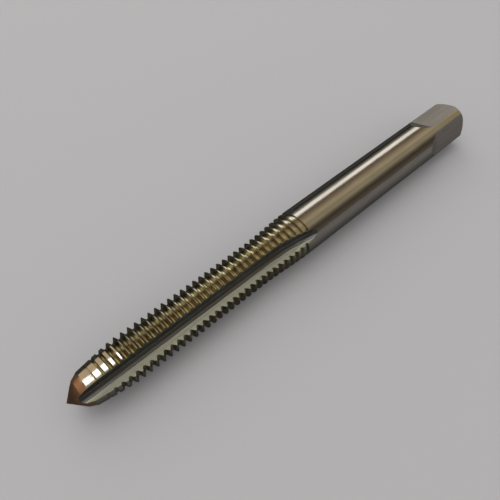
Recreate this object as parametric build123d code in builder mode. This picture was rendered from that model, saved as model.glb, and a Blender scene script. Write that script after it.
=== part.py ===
"""Hand tap, M5 x 0.8, second (plug) lead, three straight flutes, square drive.

The tap is one ground piece.  It lies on its round shank: its axis runs along +X with
the point towards -X, and the lowest line of the shank is at Z = 0.  Millimetres.
"""
from build123d import *
from math import acos, atan2, cos, degrees, radians, sin, sqrt, tan
import os

# ---- driving dimensions -------------------------------------------------------------
# Lengths along the tap are measured from the point; angles about the axis are
# right-handed about +X and start from +Y.
overall_length = 60.0
shank_diameter = 5.5

point_half_angle = 47.0      # male centre on the front end
point_radius = 1.5
neck_end = 1.95              # short relief between the centre and the lead
neck_end_radius = 1.58
lead_step_length = 0.2       # face that rises from the neck to the lead
lead_start_radius = 1.9
lead_half_angle = 8.2        # taper that carries the cutting chamfer
blank_rise_start = 23.3      # thread diameter swells to shank diameter
blank_rise_end = 28.4

thread_diameter = 5.0        # over the crests of the full thread
pitch = 0.8                  # right-hand
root_flat = 0.215            # flat at the bottom of the groove
thread_depth = 0.42
flank_half_angle = 30.0
groove_phase = 0.70          # where one turn of the groove crosses the top
run_out_start = 23.5         # grooves start to get shallower
thread_end = 29.0
thread_end_depth = 0.25      # depth of the last groove in the shank
groove_overrun = 15.0        # angle each groove runs on past its land

flute_count = 3
cutting_edge_angle = 164.0   # the edge of one land
land_angle = 69.0            # from the cutting edge back to the heel
rake_angle = 0.0             # cutting face lies on the radius
core_radius = 1.08           # axis to the bottom of a flute
flute_radius = 0.55          # round bottom of a flute
flute_end = 30.7
wheel_radius = 14.0          # grinding wheel that leaves the run-out

square_flats = 4.5
square_length = 6.2
square_run_out = 1.66        # slope from each flat up to the round shank
square_corner_angle = 117.5  # one corner of the square
end_chamfer = 0.45           # on the driven end

# ---- derived sizes ------------------------------------------------------------------
shank_radius = shank_diameter / 2
thread_radius = thread_diameter / 2
root_radius = thread_radius - thread_depth
clear = shank_radius         # how far a cutter reaches past the metal
tip_x = -overall_length / 2


def on_axis(x):
    """The point of the tap's axis at a distance from the point."""
    return Vector(tip_x + x, 0, shank_radius)


def radial_plane(x, angle):
    """A plane through the axis: its X runs along the tap, its Y outwards at the angle."""
    outward = Vector(0, cos(radians(angle)), sin(radians(angle)))
    return Plane(on_axis(x), x_dir=(1, 0, 0), z_dir=Vector(1, 0, 0).cross(outward))


def cross_plane(x, angle):
    """A plane across the axis: its X runs outwards at the angle."""
    outward = Vector(0, cos(radians(angle)), sin(radians(angle)))
    return Plane(on_axis(x), x_dir=outward, z_dir=(1, 0, 0))


tap_axis = Axis(on_axis(0), (1, 0, 0))

# male centre, neck and lead of the blank
point_length = point_radius / tan(radians(point_half_angle))
lead_start = neck_end + lead_step_length
lead_end = lead_start + (thread_radius - lead_start_radius) / tan(radians(lead_half_angle))

# thread grooves
groove_half_width = root_flat / 2 + thread_depth * tan(radians(flank_half_angle))
climb_per_length = (shank_radius - thread_end_depth - root_radius) / (thread_end - run_out_start)
groove_arc = land_angle + 2 * groove_overrun
groove_outline = [
    (-root_flat / 2, root_radius),
    (root_flat / 2, root_radius),
    (groove_half_width, thread_radius),
    (groove_half_width, thread_radius + clear),
    (-groove_half_width, thread_radius + clear),
    (-groove_half_width, thread_radius),
]

# flute section, seen along the tap with its X through the cutting edge
rake = radians(rake_angle)
flute_angle = 360 / flute_count - land_angle
centre_distance = core_radius + flute_radius
half_chord = thread_radius * cos(rake)
face_square = thread_radius**2 + flute_radius**2 - 2 * thread_radius * flute_radius * sin(rake)
face_length = half_chord - sqrt(half_chord**2 - face_square + centre_distance**2)
face_foot = Vector(thread_radius - face_length * cos(rake), face_length * sin(rake))
bottom_centre = face_foot + Vector(-sin(rake), -cos(rake)) * flute_radius
heel = Vector(thread_radius, 0).rotate(Axis.Z, -flute_angle)
heel_reach = bottom_centre - heel
heel_length = sqrt(heel_reach.length**2 - flute_radius**2)
heel_bearing = degrees(atan2(heel_reach.Y, heel_reach.X) + atan2(flute_radius, heel_length))
heel_way = Vector(1, 0).rotate(Axis.Z, heel_bearing)
heel_foot = heel + heel_way * heel_length
bottom_angle = degrees(atan2(bottom_centre.Y, bottom_centre.X))
bottom_point = bottom_centre * (core_radius / centre_distance)
face_top = Vector(thread_radius + clear * cos(rake), -clear * sin(rake))
heel_top = heel - heel_way * clear
wheel_angle = degrees(acos(1 - (shank_radius - core_radius) / wheel_radius))
wheel_start = flute_end - wheel_radius * sin(radians(wheel_angle))

# one flute's cut: straight, then the run-out of the grinding wheel
with BuildPart() as flute_cutter:
    with BuildSketch(cross_plane(wheel_start, cutting_edge_angle)) as flute_section:
        with BuildLine():
            Line(heel_top, heel_foot)
            ThreePointArc(heel_foot, bottom_point, face_foot)
            Line(face_foot, face_top)
            Line(face_top, heel_top)
        make_face()
    extrude(amount=-(wheel_start + clear))
    wheel_plane = cross_plane(wheel_start, cutting_edge_angle + bottom_angle)
    wheel_axis = Axis(
        wheel_plane.from_local_coords((core_radius + wheel_radius, 0, 0)),
        wheel_plane.y_dir,
    )
    revolve(flute_section.sketch, axis=wheel_axis, revolution_arc=2 * wheel_angle)

with BuildPart() as tap:
    # turned blank
    with BuildSketch(radial_plane(0, 90)) as half_section:
        with BuildLine():
            Polyline(
                (0, 0),
                (point_length, point_radius),
                (neck_end, neck_end_radius),
                (lead_start, lead_start_radius),
                (lead_end, thread_radius),
                (blank_rise_start, thread_radius),
                (blank_rise_end, shank_radius),
                (overall_length - end_chamfer, shank_radius),
                (overall_length, shank_radius - end_chamfer),
                (overall_length, 0),
                close=True,
            )
        make_face()
    revolve(axis=tap_axis)

    # straight flutes
    add(
        [
            flute_cutter.part.rotate(tap_axis, index * 360 / flute_count)
            for index in range(flute_count)
        ],
        mode=Mode.SUBTRACT,
    )

    # thread: on each land the grooves stand a third of a pitch on from the land before
    for index in range(flute_count):
        land_start = cutting_edge_angle + index * 360 / flute_count - groove_overrun
        land_lead = (land_start + groove_arc / 2 - 90) % 360 / 360 * pitch
        groove_count = int((thread_end - groove_phase - land_lead) / pitch) + 1
        stations = [groove_phase + land_lead + turn * pitch for turn in range(groove_count)]
        places = [
            (x, climb_per_length * max(0, x - run_out_start))
            for x in stations
            if x - groove_half_width > neck_end
        ]
        with BuildSketch(radial_plane(0, land_start)) as groove_sections:
            with Locations(*places):
                Polygon(*groove_outline, align=None)
        revolve(axis=tap_axis, revolution_arc=groove_arc, mode=Mode.SUBTRACT)

    # driving square, each flat sloping up to the round shank
    square_start = overall_length - square_length
    slope_start = square_start - square_run_out
    square_end = overall_length + clear
    for index in range(4):
        flat_angle = square_corner_angle + 45 + index * 90
        with BuildSketch(radial_plane(0, flat_angle)) as flat_section:
            with BuildLine():
                Polyline(
                    (square_end, square_flats / 2),
                    (square_start, square_flats / 2),
                    (slope_start, shank_radius),
                    (slope_start, shank_radius + clear),
                    (square_end, shank_radius + clear),
                    close=True,
                )
            make_face()
        extrude(amount=clear, both=True, mode=Mode.SUBTRACT)

tap.part.label = "thread_tap"
os.makedirs("parts", exist_ok=True)
export_step(tap.part, "parts/thread_tap.step")
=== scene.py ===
import math
import bpy
from mathutils import Matrix, Vector


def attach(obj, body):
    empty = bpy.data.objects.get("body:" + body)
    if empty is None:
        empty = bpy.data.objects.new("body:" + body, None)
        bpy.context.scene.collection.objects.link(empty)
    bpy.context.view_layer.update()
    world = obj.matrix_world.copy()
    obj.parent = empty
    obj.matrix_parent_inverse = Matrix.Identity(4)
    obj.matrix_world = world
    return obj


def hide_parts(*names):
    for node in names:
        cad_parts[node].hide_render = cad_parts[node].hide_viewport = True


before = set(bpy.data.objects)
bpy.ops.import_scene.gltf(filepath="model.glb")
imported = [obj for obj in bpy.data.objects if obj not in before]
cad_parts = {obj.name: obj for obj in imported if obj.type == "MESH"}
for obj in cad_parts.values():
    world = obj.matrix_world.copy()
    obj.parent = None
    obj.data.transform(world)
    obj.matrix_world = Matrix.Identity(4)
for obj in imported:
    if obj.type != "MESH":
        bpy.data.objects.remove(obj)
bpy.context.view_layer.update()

millimetre = 0.001  # in scene units


def clearSelection():
    if bpy.context.mode != "OBJECT":
        bpy.ops.object.mode_set(mode="OBJECT")
    bpy.ops.object.select_all(action="DESELECT")


def makeActive(piece):
    clearSelection()
    piece.select_set(True)
    bpy.context.view_layer.objects.active = piece


def applyModifiers(piece):
    makeActive(piece)
    for modifier in list(piece.modifiers):
        bpy.ops.object.modifier_apply(modifier=modifier.name)


def closeUp(holeSides=0):
    # in edit mode: fill the open ends, turn all normals outwards and leave edit mode
    bpy.ops.mesh.select_all(action="SELECT")
    if holeSides:
        bpy.ops.mesh.fill_holes(sides=holeSides)
        bpy.ops.mesh.select_all(action="SELECT")
    bpy.ops.mesh.normals_make_consistent(inside=False)
    bpy.ops.object.mode_set(mode="OBJECT")


def coat(piece, material):
    piece.data.materials.clear()
    piece.data.materials.append(material)
    return piece


# Lengths are in millimetres here and in the tap's own dictionaries.
viewPoint = {
    "place": (-28.660, -23.359, 47.45),
    "right": (0.7398, -0.6729, 0.0),
    "up": (0.5360, 0.5893, 0.6046),
    "focalPixels": 500.0,
    "pictureWidth": 500.0,
    "sensorWidth": 36.0,
    "clipStart": 1.0,
}


def makeCamera():
    right = Vector(viewPoint["right"]).normalized()
    up = Vector(viewPoint["up"])
    up = (up - right * up.dot(right)).normalized()
    turn = Matrix((right, up, right.cross(up))).transposed().to_4x4()
    data = bpy.data.cameras.new("viewCamera")
    data.sensor_width = viewPoint["sensorWidth"]
    data.lens = viewPoint["sensorWidth"] * viewPoint["focalPixels"] / viewPoint["pictureWidth"]
    data.clip_start = viewPoint["clipStart"] * millimetre
    camera = bpy.data.objects.new("viewCamera", data)
    bpy.context.scene.collection.objects.link(camera)
    camera.matrix_world = Matrix.Translation(Vector(viewPoint["place"]) * millimetre) @ turn
    bpy.context.scene.camera = camera


makeCamera()
print("camera placed")


# The tap is modelled in millimetres with its axis on X and its point at the origin.
# Angles about the axis start from +Y and turn towards +Z.
tapSize = {
    "length": 60.0,
    "shankRadius": 2.75,
    "threadRadius": 2.5,
    "pointLength": 1.40,  # male centre
    "pointRadius": 1.5,
    "bevelEnd": 1.95,
    "bevelRadius": 1.78,
    "leadStart": 2.15,
    "leadStartRadius": 1.9,
    "leadEnd": 6.31,
    "riseStart": 23.3,  # thread diameter swells to shank diameter
    "riseEnd": 28.4,
    "endChamfer": 0.45,
    "aroundSteps": 180,
    "smoothAngle": 15.0,
}

threadSize = {
    "pitch": 0.8,
    "depth": 0.47,
    "rootFlat": 0.157,
    "flankAngle": 30.0,
    "cutterReach": 0.6,  # past the crests
    "startAt": 1.606,  # along the tap, at the start angle
    "startAngle": 137.6,
    "turns": 35,
    "stepsPerTurn": 120,
    "climbStart": 23.5,  # the groove climbs out of the metal
    "climbEnd": 29.0,
    "lastDepth": 0.25,
}

fluteSize = {
    "count": 3,
    "edgeAngle": 164.0,
    "landAngle": 69.0,
    "rakeAngle": 0.0,
    "coreRadius": 1.08,
    "bottomRadius": 0.55,
    "endAt": 30.7,
    "wheelRadius": 14.0,  # grinding wheel that leaves the run-out
    "wheelOverrun": 1.25,
    "faceTurn": 0.77,  # from here to the edge the flute takes the painted highlight
    "bottomSteps": 14,
    "wheelSteps": 24,
    "sideReach": 1.5,  # cutter past the crests
    "frontReach": 1.0,  # cutter ahead of the point
}

squareSize = {
    "sides": 4,
    "flats": 4.5,
    "length": 6.2,
    "cornerAngle": 117.5,
    "cutterRadius": 3.0,  # run-out of each flat
    "endReach": 1.0,
    "outReach": 2.0,
    "halfWidth": 3.0,
}


def aboutAxis(angle, radius, along=0.0):
    turned = math.radians(angle)
    return Vector((along, radius * math.cos(turned), radius * math.sin(turned)))


def heading(angle):
    return Vector((math.cos(angle), math.sin(angle)))


def bearingOf(way):
    return math.atan2(way.y, way.x)


def flatPiece(name, corners):
    # one face with the given corners, made from a circle with as many
    clearSelection()
    bpy.ops.mesh.primitive_circle_add(
        vertices=len(corners), radius=1, fill_type="NGON", location=(0, 0, 0),
    )
    piece = bpy.context.object
    piece.name = name
    for vertex, corner in zip(piece.data.vertices, corners):
        vertex.co = corner
    return piece


def makeBlank():
    size = tapSize
    stations = [
        (size["length"], size["shankRadius"] - size["endChamfer"]),
        (size["length"] - size["endChamfer"], size["shankRadius"]),
        (size["riseEnd"], size["shankRadius"]),
        (size["riseStart"], size["threadRadius"]),
        (size["leadEnd"], size["threadRadius"]),
        (size["leadStart"], size["leadStartRadius"]),
        (size["bevelEnd"], size["bevelRadius"]),
        (size["pointLength"], size["pointRadius"]),
        (0.0, 0.0),
    ]
    clearSelection()
    bpy.ops.mesh.primitive_circle_add(
        vertices=size["aroundSteps"], radius=stations[0][1], fill_type="NGON",
        location=(stations[0][0], 0, 0), rotation=(0, math.pi / 2, 0),
    )
    blank = bpy.context.object
    blank.name = "tap"
    bpy.ops.object.transform_apply(location=True, rotation=True, scale=True)
    bpy.ops.object.mode_set(mode="EDIT")
    bpy.ops.mesh.select_all(action="SELECT")
    for before, after in zip(stations, stations[1:]):
        step = (after[0] - before[0], 0, 0)
        bpy.ops.mesh.extrude_region_move(TRANSFORM_OT_translate={"value": step})
        if after[1] > 0:
            grow = after[1] / before[1]
            bpy.ops.transform.resize(value=(1, grow, grow), center_override=(after[0], 0, 0))
        else:
            bpy.ops.mesh.merge(type="CENTER")
    closeUp()
    return blank


def makeThreadCutter():
    # the groove's section wound along the tap, its last turns lifted towards the surface
    size = threadSize
    threadRadius = tapSize["threadRadius"]
    rootRadius = threadRadius - size["depth"]
    half = size["rootFlat"] / 2 + size["depth"] * math.tan(math.radians(size["flankAngle"]))
    section = [
        (-size["rootFlat"] / 2, rootRadius),
        (size["rootFlat"] / 2, rootRadius),
        (half, threadRadius),
        (half, threadRadius + size["cutterReach"]),
        (-half, threadRadius + size["cutterReach"]),
        (-half, threadRadius),
    ]
    corners = [aboutAxis(size["startAngle"], r, size["startAt"] + x) for x, r in section]
    cutter = flatPiece("threadCutter", corners)
    bpy.ops.object.mode_set(mode="EDIT")
    bpy.ops.mesh.select_all(action="SELECT")
    bpy.ops.mesh.delete(type="ONLY_FACE")
    bpy.ops.object.mode_set(mode="OBJECT")
    screw = cutter.modifiers.new("screw", "SCREW")
    screw.axis = "X"
    screw.angle = math.tau
    screw.screw_offset = size["pitch"]
    screw.iterations = size["turns"]
    screw.steps = size["stepsPerTurn"]
    screw.render_steps = size["stepsPerTurn"]
    screw.use_merge_vertices = False
    applyModifiers(cutter)
    climb = tapSize["shankRadius"] - size["lastDepth"] - rootRadius
    for vertex in cutter.data.vertices:
        share = (vertex.co.x - size["climbStart"]) / (size["climbEnd"] - size["climbStart"])
        if share > 0:
            radius = math.hypot(vertex.co.y, vertex.co.z)
            grow = (radius + share * climb) / radius
            vertex.co.y *= grow
            vertex.co.z *= grow
    bpy.ops.object.mode_set(mode="EDIT")
    closeUp(holeSides=len(section))
    return cutter


def fluteSection():
    # a flute's section with the cutting edge on its X, and the bearing of its bottom
    size = fluteSize
    radius = tapSize["threadRadius"]
    bottom = size["bottomRadius"]
    rake = math.radians(size["rakeAngle"])
    # the cutting face ends where the round bottom touches the core
    reach = size["coreRadius"] + bottom
    aside = bottom - radius * math.sin(rake)
    faceLength = radius * math.cos(rake) - math.sqrt(reach ** 2 - aside ** 2)
    faceWay = heading(-rake)
    faceFoot = heading(0) * radius - faceWay * faceLength
    centre = faceFoot + Vector((faceWay.y, -faceWay.x)) * bottom
    # the heel side runs from the next land to touch the round bottom
    fluteAngle = math.radians(360 / size["count"] - size["landAngle"])
    heel = heading(-fluteAngle) * radius
    way = centre - heel
    heelLength = math.sqrt(way.length ** 2 - bottom ** 2)
    heelWay = heading(bearingOf(way) + math.atan2(bottom, heelLength))
    heelFoot = heel + heelWay * heelLength
    first = bearingOf(heelFoot - centre)
    last = bearingOf(faceFoot - centre)
    if last > first:
        last -= math.tau
    steps = size["bottomSteps"]
    arc = [first + (last - first) * k / steps for k in range(steps + 1)]
    points = [heel - heelWay * size["sideReach"]]
    points += [centre + heading(angle) * bottom for angle in arc]
    points.append(faceFoot + faceWay * (faceLength + size["sideReach"]))
    return points, bearingOf(centre)


def makeFluteCutter(number):
    # straight along the tap, then round the grinding wheel's axis
    size = fluteSize
    points, bottomAngle = fluteSection()
    edge = math.radians(size["edgeAngle"] + number * 360 / size["count"])
    rise = tapSize["shankRadius"] - size["coreRadius"]
    wheelAngle = math.acos(1 - rise / size["wheelRadius"])
    wheelStart = size["endAt"] - size["wheelRadius"] * math.sin(wheelAngle)
    corners = []
    for point in points:
        turned = math.degrees(edge + bearingOf(point))
        corners.append(aboutAxis(turned, point.length, -size["frontReach"]))
    cutter = flatPiece("fluteCutter", corners)
    bpy.ops.object.mode_set(mode="EDIT")
    bpy.ops.mesh.select_all(action="SELECT")
    step = (wheelStart + size["frontReach"], 0, 0)
    bpy.ops.mesh.extrude_region_move(TRANSFORM_OT_translate={"value": step})
    bottom = edge + bottomAngle
    centre = aboutAxis(math.degrees(bottom), size["coreRadius"] + size["wheelRadius"], wheelStart)
    across = Vector((0, -math.sin(bottom), math.cos(bottom)))
    bpy.ops.mesh.spin(
        steps=size["wheelSteps"], angle=-size["wheelOverrun"] * wheelAngle,
        center=centre, axis=across,
    )
    closeUp()
    # painted shade: the heel side of the flute is coated dark
    coat(cutter, heelShadeSteel)
    cutter.data.materials.append(faceHighlightSteel)
    # polygons facing along across past faceTurn take the painted highlight of the cutting face
    for side in cutter.data.polygons:
        if side.normal.dot(across) > size["faceTurn"]:
            side.material_index = 1
    return cutter


def makeSquareCutter(number):
    size = squareSize
    shank = tapSize["shankRadius"]
    depth = shank - size["flats"] / 2
    runOut = math.sqrt(size["cutterRadius"] ** 2 - (size["cutterRadius"] - depth) ** 2)
    start = tapSize["length"] - size["length"]
    end = tapSize["length"] + size["endReach"]
    outward = aboutAxis(size["cornerAngle"] + 180 / size["sides"] + 360 / size["sides"] * number, 1)
    across = Vector((1, 0, 0)).cross(outward)
    side = [
        (end, size["flats"] / 2),
        (start, size["flats"] / 2),
        (start - runOut, shank),
        (start - runOut, shank + size["outReach"]),
        (end, shank + size["outReach"]),
    ]
    corners = [Vector((x, 0, 0)) + outward * r - across * size["halfWidth"] for x, r in side]
    cutter = flatPiece("squareCutter", corners)
    bpy.ops.object.mode_set(mode="EDIT")
    bpy.ops.mesh.select_all(action="SELECT")
    step = across * 2 * size["halfWidth"]
    bpy.ops.mesh.extrude_region_move(TRANSFORM_OT_translate={"value": step})
    closeUp()
    return cutter


def cutAway(piece, cutter):
    # the cut faces take the cutter's material
    boolean = piece.modifiers.new("cut", "BOOLEAN")
    boolean.operation = "DIFFERENCE"
    boolean.solver = "MANIFOLD"
    boolean.material_mode = "TRANSFER"
    boolean.object = cutter
    applyModifiers(piece)
    bpy.data.objects.remove(cutter, do_unlink=True)


def makeTap():
    tap = coat(makeBlank(), turnedSteel)
    cutAway(tap, coat(makeThreadCutter(), threadSteel))
    print("thread cut", len(tap.data.polygons))
    for number in range(fluteSize["count"]):
        cutAway(tap, makeFluteCutter(number))
    print("flutes cut", len(tap.data.polygons))
    for number in range(squareSize["sides"]):
        cutAway(tap, coat(makeSquareCutter(number), flatSteel))
    print("square cut", len(tap.data.polygons))
    makeActive(tap)
    back = -tapSize["length"] / 2 * millimetre
    tap.location = (back, 0, tapSize["shankRadius"] * millimetre)
    tap.scale = (millimetre, millimetre, millimetre)
    bpy.ops.object.transform_apply(location=True, rotation=True, scale=True)
    bpy.ops.object.shade_smooth_by_angle(angle=math.radians(tapSize["smoothAngle"]))
    return tap


class Value:
    # a socket that can be added, multiplied and so on; each use adds a Math node
    def __init__(self, tree, socket=None):
        self.tree = tree
        self.socket = socket

    def node(self, kind, settings=None, sockets=None, output=0):
        made = self.tree.nodes.new(kind)
        for name, value in (settings or {}).items():
            if name == "stops":
                while len(made.color_ramp.elements) < len(value):
                    made.color_ramp.elements.new(0.5)
                for element, (place, colour) in zip(made.color_ramp.elements, value):
                    element.position = place
                    element.color = (*colour, 1)
            else:
                setattr(made, name, value)
        for key, value in (sockets or {}).items():
            if isinstance(value, Value):
                self.tree.links.new(value.socket, made.inputs[key])
            else:
                made.inputs[key].default_value = value
        return Value(self.tree, made.outputs[output])

    def maths(self, operation, first, second=0.0):
        return self.node("ShaderNodeMath", {"operation": operation}, {0: first, 1: second})

    def mixed(self, share, first, second):
        # first colour where share is 0, second where it is 1
        ends = [end if isinstance(end, Value) else (*end, 1) for end in (first, second)]
        sockets = {"Factor": share, 6: ends[0], 7: ends[1]}
        return self.node("ShaderNodeMix", {"data_type": "RGBA"}, sockets, 2)

    def rise(self, low, high, start=0.0, end=1.0):
        # start below low, end above high, smooth between
        return self.node("ShaderNodeMapRange", {"interpolation_type": "SMOOTHSTEP"}, {
            "Value": self, "From Min": low, "From Max": high, "To Min": start, "To Max": end,
        })

    def between(self, low, high, soft):
        # 1 between low and high, with soft ends
        return self.rise(low - soft, low + soft) * (-1 * self).rise(-high - soft, -high + soft)

    def axis(self, number):
        return self.node("ShaderNodeSeparateXYZ", None, {0: self}, number)

    def __add__(self, other):
        return self.maths("ADD", self, other)

    def __radd__(self, other):
        return self.maths("ADD", other, self)

    def __sub__(self, other):
        return self.maths("SUBTRACT", self, other)

    def __rsub__(self, other):
        return self.maths("SUBTRACT", other, self)

    def __mul__(self, other):
        return self.maths("MULTIPLY", self, other)

    def __rmul__(self, other):
        return self.maths("MULTIPLY", other, self)

    def __truediv__(self, other):
        return self.maths("DIVIDE", self, other)

    def __rtruediv__(self, other):
        return self.maths("DIVIDE", other, self)


# ground blank: shank, lead and point
turnedFinish = {
    "tinted": True,
    "colour": (0.44, 0.415, 0.375),
    "dark": (0.38, 0.355, 0.315),
    "roughness": 0.17,
    "spread": 0.12,  # of the roughness
    "streakStretch": (0.15, 1.0, 1.0),  # marks run along the tap
    "streakScale": 5000.0,
    "streakDepth": 0.05,
}

threadFinish = {
    "tinted": False,
    "colour": (0.52, 0.48, 0.30),
    "dark": (0.22, 0.19, 0.12),
    "roughness": 0.20,
    "spread": 0.15,
    "streakStretch": (3.0, 1.0, 1.0),  # marks run around the tap
    "streakScale": 2500.0,
    "streakDepth": 0.05,
}

# painted shade: the flute's side from the heel to its bottom is coloured dark for the little light
# it reflects
heelShadeFinish = {
    "tinted": False,
    "colour": (0.15, 0.155, 0.17),
    "dark": (0.10, 0.102, 0.11),
    "roughness": 0.36,
    "spread": 0.15,
    "streakStretch": (0.03, 1.0, 1.0),
    "streakScale": 9000.0,
    "streakDepth": 0.20,
}

# cutting face of a flute, ground rough, with a painted highlight: coloured far brighter than the
# rest of the steel
faceHighlightFinish = {
    "tinted": False,
    "colour": (0.88, 0.90, 0.77),
    "dark": (0.60, 0.61, 0.52),
    "roughness": 0.62,
    "spread": 0.20,
    "streakStretch": (0.03, 1.0, 1.0),
    "streakScale": 9000.0,
    "streakDepth": 0.35,
}

# flats of the driving square
flatFinish = {
    "tinted": False,
    "colour": (0.38, 0.35, 0.32),
    "dark": (0.32, 0.29, 0.26),
    "roughness": 0.33,
    "spread": 0.15,
    "streakStretch": (0.1, 1.0, 1.0),
    "streakScale": 6000.0,
    "streakDepth": 0.10,
}

# the point is tinted brown, the tint fading out at the lead
tipTint = {
    "colour": (0.37, 0.215, 0.14),
    "addedRoughness": 0.25,
    "fades": (0.0019, 0.0022),  # metres from the point
}

# shared by all the finishes
grindMarks = {
    "fineDetail": 3.0,
    "broadShare": 1 / 3,  # scale of the light and dark lines
    "broadDetail": 2.0,
    "broadRange": (0.3, 0.7),
    "height": 0.00005,
}


def newMaterial(name):
    material = bpy.data.materials.new(name)
    material.use_nodes = True
    tree = material.node_tree
    return material, tree, tree.nodes["Principled BSDF"]


def makeSteel(name, finish):
    material, tree, shader = newMaterial(name)
    start = Value(tree)
    place = start.node("ShaderNodeTexCoord", output=3)
    streakPlace = start.node("ShaderNodeMapping", None, {
        "Vector": place, "Scale": finish["streakStretch"],
    })
    streaks = start.node("ShaderNodeTexNoise", None, {
        "Vector": streakPlace, "Scale": finish["streakScale"], "Detail": grindMarks["fineDetail"],
    })
    lines = start.node("ShaderNodeTexNoise", None, {
        "Vector": streakPlace, "Scale": finish["streakScale"] * grindMarks["broadShare"],
        "Detail": grindMarks["broadDetail"],
    })
    light = start.node("ShaderNodeMapRange", None, {
        "Value": lines,
        "From Min": grindMarks["broadRange"][0], "From Max": grindMarks["broadRange"][1],
    })
    colour = start.mixed(light, finish["dark"], finish["colour"])
    rough = finish["roughness"] + (streaks - 0.5) * finish["spread"]
    if finish["tinted"]:
        fromTip = place.axis(0) + tapSize["length"] / 2 * millimetre
        tinted = fromTip.rise(*tipTint["fades"], 1.0, 0.0)
        colour = start.mixed(tinted, colour, tipTint["colour"])
        rough = rough + tinted * tipTint["addedRoughness"]
    bump = start.node("ShaderNodeBump", None, {
        "Height": streaks, "Strength": finish["streakDepth"], "Distance": grindMarks["height"],
    })
    shader.inputs["Metallic"].default_value = 1.0
    tree.links.new(colour.socket, shader.inputs["Base Color"])
    tree.links.new(rough.socket, shader.inputs["Roughness"])
    tree.links.new(bump.socket, shader.inputs["Normal"])
    return material


turnedSteel = makeSteel("turnedSteel", turnedFinish)
threadSteel = makeSteel("threadSteel", threadFinish)
heelShadeSteel = makeSteel("heelShadeSteel", heelShadeFinish)
faceHighlightSteel = makeSteel("faceHighlightSteel", faceHighlightFinish)
flatSteel = makeSteel("flatSteel", flatFinish)
print("steel made")

tap = makeTap()
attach(tap, "root")
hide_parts("thread_tap")
print("tap made", [material.name for material in tap.data.materials])


# Lengths are in metres from here on.
stageLook = {
    "floorSize": 2.0,
    "paper": (0.395, 0.386, 0.389),
    "paperRoughness": 0.9,
    "reflectedShadeFade": (-0.011, 0.003),  # from -Y to +Y under the tap
    "reflectedShadeShare": (0.52, 0.07),  # painted shade: how bright the paper shows in the steel's reflections, darkest from under the tap on to +Y
    "fill": (0.88, 0.88, 0.88),
}

lights = {
    "window": {"place": (0.10, 0.30, 0.30), "size": (0.34, 0.30), "power": 0.30},
    "lamp": {"place": (-0.05, 0.10, 0.40), "size": (0.25, 0.25), "power": 0.30},
}

# What the steel reflects. The bands go by the angle about the tap's axis, from +Y over
# the top to -Y. A span also goes by how far the reflection leans to the square end.
roomBands = [
    (0.07, (0.03, 0.03, 0.025)),  # dark beyond the table
    (0.14, (0.18, 0.17, 0.16)),
    (0.20, (0.60, 0.58, 0.55)),  # about the window
    (0.31, (0.36, 0.34, 0.30)),
    (0.345, (0.17, 0.14, 0.10)),  # frame over the window
    (0.38, (0.20, 0.14, 0.09)),
    (0.57, (0.68, 0.57, 0.39)),  # warm ceiling
    (0.63, (0.40, 0.34, 0.22)),
    (0.70, (0.50, 0.45, 0.31)),
    (0.78, (0.17, 0.14, 0.09)),
    (0.83, (0.06, 0.05, 0.03)),  # dark behind the viewer
    (0.97, (0.15, 0.12, 0.10)),
]

roomSpans = {
    "angleSoft": 0.01,
    "windowAngle": (0.197, 0.311),
    "windowLean": (0.10, 0.35),
    "windowGlow": (1.85, 1.79, 1.69),
    "wallAngle": (0.09, 0.36),  # a warm wall behind the point
    "wallLean": (-0.02, 0.12),
    "wallGlow": (0.95, 0.72, 0.47),
    "lampAngle": (0.375, 0.565),
    "lampLean": (-0.42, -0.13),
    "lampLeanSoft": 0.03,
    "lampGlow": (4.5, 4.5, 4.4),
}


def makeFloor():
    clearSelection()
    bpy.ops.mesh.primitive_plane_add(size=stageLook["floorSize"], location=(0, 0, 0))
    floor = bpy.context.object
    floor.name = "floor"
    material, tree, shader = newMaterial("paper")
    start = Value(tree)
    across = start.node("ShaderNodeTexCoord", output=3).axis(1)
    # painted shade on the paper as the steel reflects it: glossy rays see it darker near and beyond
    # the tap
    paperShade = across.rise(*stageLook["reflectedShadeFade"], *stageLook["reflectedShadeShare"])
    glossy = start.node("ShaderNodeLightPath", output=3)
    share = 1.0 - glossy * (1.0 - paperShade)
    paper = start.mixed(share, (0, 0, 0), stageLook["paper"])
    tree.links.new(paper.socket, shader.inputs["Base Color"])
    shader.inputs["Roughness"].default_value = stageLook["paperRoughness"]
    floor.data.materials.append(material)


def makeLight(name, look):
    # the steel doesn't show the lamp itself, only the room's own bands
    clearSelection()
    place = Vector(look["place"])
    turn = place.to_track_quat("Z", "Y").to_euler()
    bpy.ops.object.light_add(type="AREA", location=place, rotation=turn)
    light = bpy.context.object
    light.name = name
    light.data.shape = "RECTANGLE"
    light.data.size, light.data.size_y = look["size"]
    light.data.energy = look["power"]
    light.visible_glossy = False


def makeWorld():
    world = bpy.data.worlds.new("room")
    bpy.context.scene.world = world
    world.use_nodes = True
    tree = world.node_tree
    spans = roomSpans
    start = Value(tree)
    way = start.node("ShaderNodeTexCoord")
    lean = way.axis(0)
    angle = start.maths("ARCTAN2", way.axis(2), way.axis(1)) / math.pi
    window = angle.between(*spans["windowAngle"], spans["angleSoft"])
    window = window * lean.rise(*spans["windowLean"])
    wall = angle.between(*spans["wallAngle"], spans["angleSoft"])
    wall = wall * (-1 * lean).rise(*spans["wallLean"])
    lamp = angle.between(*spans["lampAngle"], spans["angleSoft"])
    lamp = lamp * lean.between(*spans["lampLean"], spans["lampLeanSoft"])
    room = start.node("ShaderNodeValToRGB", {"stops": roomBands}, {"Fac": angle})
    room = start.mixed(window, room, spans["windowGlow"])
    room = start.mixed(wall, room, spans["wallGlow"])
    room = start.mixed(lamp, room, spans["lampGlow"])
    glossy = start.node("ShaderNodeLightPath", output=3)
    seen = start.mixed(glossy, stageLook["fill"], room)
    tree.links.new(seen.socket, tree.nodes["Background"].inputs["Color"])


makeFloor()
for name, look in lights.items():
    makeLight(name, look)
makeWorld()
bpy.context.scene.view_settings.view_transform = "Standard"
print("stage made")
